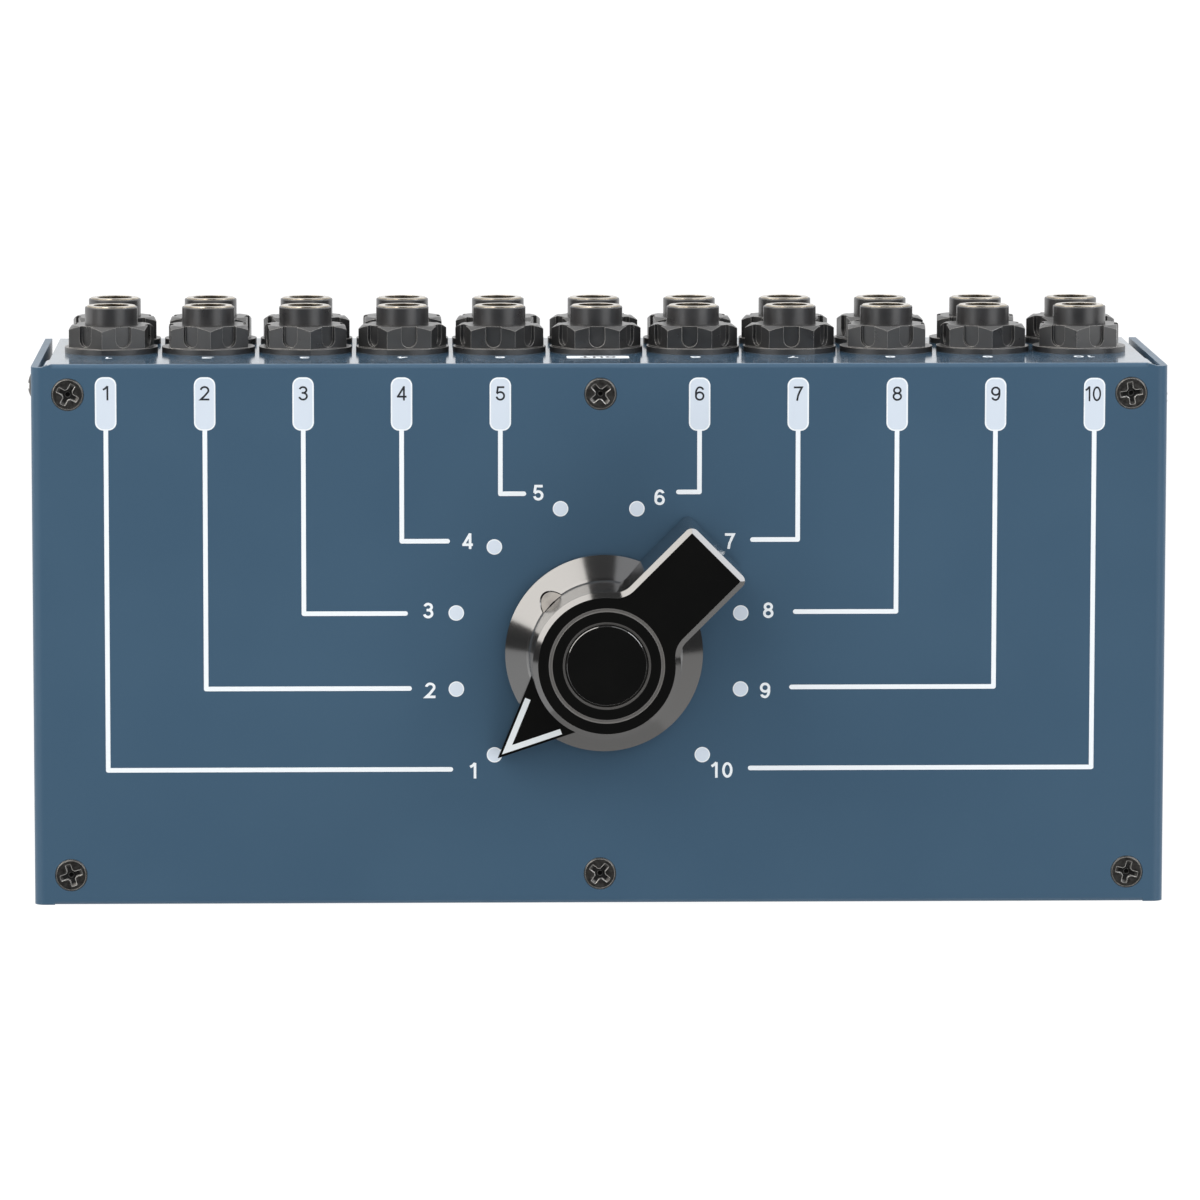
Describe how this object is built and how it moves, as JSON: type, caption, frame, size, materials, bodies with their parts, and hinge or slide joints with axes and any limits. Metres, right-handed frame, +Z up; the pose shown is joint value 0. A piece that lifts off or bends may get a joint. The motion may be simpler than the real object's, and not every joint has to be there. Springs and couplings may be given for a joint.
{
  "type": "audio switch box",
  "caption": "Folded steel desktop box with a pointer knob on its panel that turns a rotary selector, and two rows of jack sockets along its rear wall.",
  "frame": {"origin": "on the surface that the feet stand on, under the middle of the box's outline over the case and the jack barrels", "axes": "+Z up out of the panel along the knob's axis, +Y to the rear with the jack sockets, +X to the right"},
  "size_m": [0.2358, 0.1216, 0.0945],
  "materials": {
    "blue_paint": "satin blue-grey paint",
    "rubber": "matt black rubber",
    "zinc_screws": "zinc plated",
    "black_screws": "black nickel plated",
    "black_oxide": "black oxide, satin",
    "jack_plastic": "black moulded nylon",
    "nut_plastic": "black moulded nylon, satin",
    "nickel": "bright nickel",
    "board": "green solder mask on glass fibre board",
    "zinc_steel": "zinc plated",
    "brass": "machined brass",
    "deck_board": "brown phenolic board",
    "rotor_plastic": "ivory moulded plastic",
    "connector_plastic": "ivory nylon",
    "knob_black": "polished black phenolic",
    "knob_insert": "satin black phenolic",
    "white_fill": "white filler in engraved lines"
  },
  "bodies": {
    "box": {"top_cover": "blue_paint", "chassis": "blue_paint", "rubber_feet": "rubber", "foot_screws": "zinc_screws", "panel_screws": "black_screws", "side_screws": "black_screws", "input_1_left_jack": "jack_plastic", "input_2_left_jack": "jack_plastic", "input_3_left_jack": "jack_plastic", "input_4_left_jack": "jack_plastic", "input_5_left_jack": "jack_plastic", "output_left_jack": "jack_plastic", "input_6_left_jack": "jack_plastic", "input_7_left_jack": "jack_plastic", "input_8_left_jack": "jack_plastic", "input_9_left_jack": "jack_plastic", "input_10_left_jack": "jack_plastic", "input_1_right_jack": "jack_plastic", "input_2_right_jack": "jack_plastic", "input_3_right_jack": "jack_plastic", "input_4_right_jack": "jack_plastic", "input_5_right_jack": "jack_plastic", "output_right_jack": "jack_plastic", "input_6_right_jack": "jack_plastic", "input_7_right_jack": "jack_plastic", "input_8_right_jack": "jack_plastic", "input_9_right_jack": "jack_plastic", "input_10_right_jack": "jack_plastic", "jack_nuts_left": "nut_plastic", "jack_nuts_right": "nut_plastic", "jack_ferrules": "nickel", "jack_terminals": "nickel", "jack_board": "board", "index_housing": "zinc_steel", "threaded_bush": "brass", "lock_washer": "zinc_steel", "panel_nut": "zinc_steel", "switch_deck_1": "deck_board", "switch_deck_2": "deck_board", "switch_deck_3": "deck_board", "switch_deck_4": "deck_board", "deck_contacts": "brass", "deck_connectors": "connector_plastic", "tie_rods": "zinc_steel", "tie_spacers": "zinc_steel", "tie_nuts": "zinc_steel"},
    "knob": {"switch_shaft": "zinc_steel", "shaft_clip": "zinc_steel", "switch_rotor_1": "rotor_plastic", "switch_rotor_2": "rotor_plastic", "switch_rotor_3": "rotor_plastic", "switch_rotor_4": "rotor_plastic", "rotor_contacts": "brass", "knob_body": "knob_black", "knob_insert": "knob_insert", "pointer_lines": "white_fill", "knob_brass_bush": "brass", "knob_set_screw": "black_oxide"}
  },
  "joints": [
    {"name": "knob_turn", "type": "hinge", "parent": "box", "child": "knob", "pos_m": [0.0007, -0.0081, 0.071], "axis": [0, 0, -1], "range_deg": [0, 270]}
  ]
}
